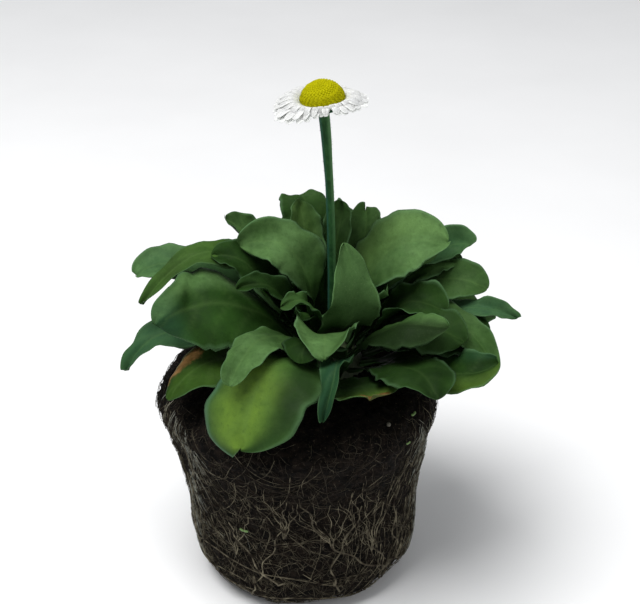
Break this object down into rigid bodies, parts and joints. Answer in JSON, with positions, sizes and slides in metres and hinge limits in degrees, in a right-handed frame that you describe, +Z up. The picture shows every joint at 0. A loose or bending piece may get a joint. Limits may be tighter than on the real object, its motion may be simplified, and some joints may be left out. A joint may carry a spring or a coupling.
{
  "type": "english daisy plant with bare root ball",
  "caption": "Flowering daisy lifted out of its pot: a root-bound peat plug, a rosette of spoon-shaped leaves and one stalk with an open white and yellow head.",
  "frame": {"origin": "on the flat foot of the root ball, below the middle of its top rim", "axes": "+Z up along the flower stalk, -Y towards the viewer of the picture, +X to the viewer's right"},
  "size_m": [0.137, 0.1232, 0.187],
  "materials": {
    "peat": "rough damp peat",
    "root_tan": "dull fibrous root",
    "crown_green": "matte plant stump",
    "leaf_green": "matte leaf with fine veins",
    "stalk_green": "downy plant stalk",
    "ray_white": "soft white petal",
    "eye_yellow": "matte pollen yellow"
  },
  "bodies": {
    "root": {"bracts": "stalk_green", "crown": "crown_green", "disc_florets": "eye_yellow", "flower_stalk": "stalk_green", "leaf_back_1": "leaf_green", "leaf_back_10": "leaf_green", "leaf_back_11": "leaf_green", "leaf_back_13": "leaf_green", "leaf_back_14": "leaf_green", "leaf_back_2": "leaf_green", "leaf_back_3": "leaf_green", "leaf_back_4": "leaf_green", "leaf_back_5": "leaf_green", "leaf_back_6": "leaf_green", "leaf_back_7": "leaf_green", "leaf_back_8": "leaf_green", "leaf_back_9": "leaf_green", "leaf_back_cupped": "leaf_green", "leaf_back_left_cupped": "leaf_green", "leaf_back_upright": "leaf_green", "leaf_behind_stalk": "leaf_green", "leaf_centre_front": "leaf_green", "leaf_centre_left": "leaf_green", "leaf_centre_small": "leaf_green", "leaf_front_cupped": "leaf_green", "leaf_front_hanging": "leaf_green", "leaf_front_left_folded": "leaf_green", "leaf_front_left_large": "leaf_green", "leaf_front_right_dark": "leaf_green", "leaf_front_right_lowest": "leaf_green", "leaf_front_right_rolled": "leaf_green", "leaf_front_right_round": "leaf_green", "leaf_front_shaded": "leaf_green", "leaf_heart_right": "leaf_green", "leaf_left_bright": "leaf_green", "leaf_left_dome": "leaf_green", "leaf_left_inner": "leaf_green", "leaf_left_light": "leaf_green", "leaf_left_low": "leaf_green", "leaf_left_old": "leaf_green", "leaf_right_broad": "leaf_green", "leaf_right_cupped": "leaf_green", "leaf_right_hollow": "leaf_green", "leaf_right_long": "leaf_green", "leaf_right_low": "leaf_green", "leaf_right_narrow": "leaf_green", "leaf_right_shaded": "leaf_green", "leaf_right_upper": "leaf_green", "ray_florets": "ray_white", "root_net": "root_tan", "soil": "peat"}
  },
  "joints": []
}
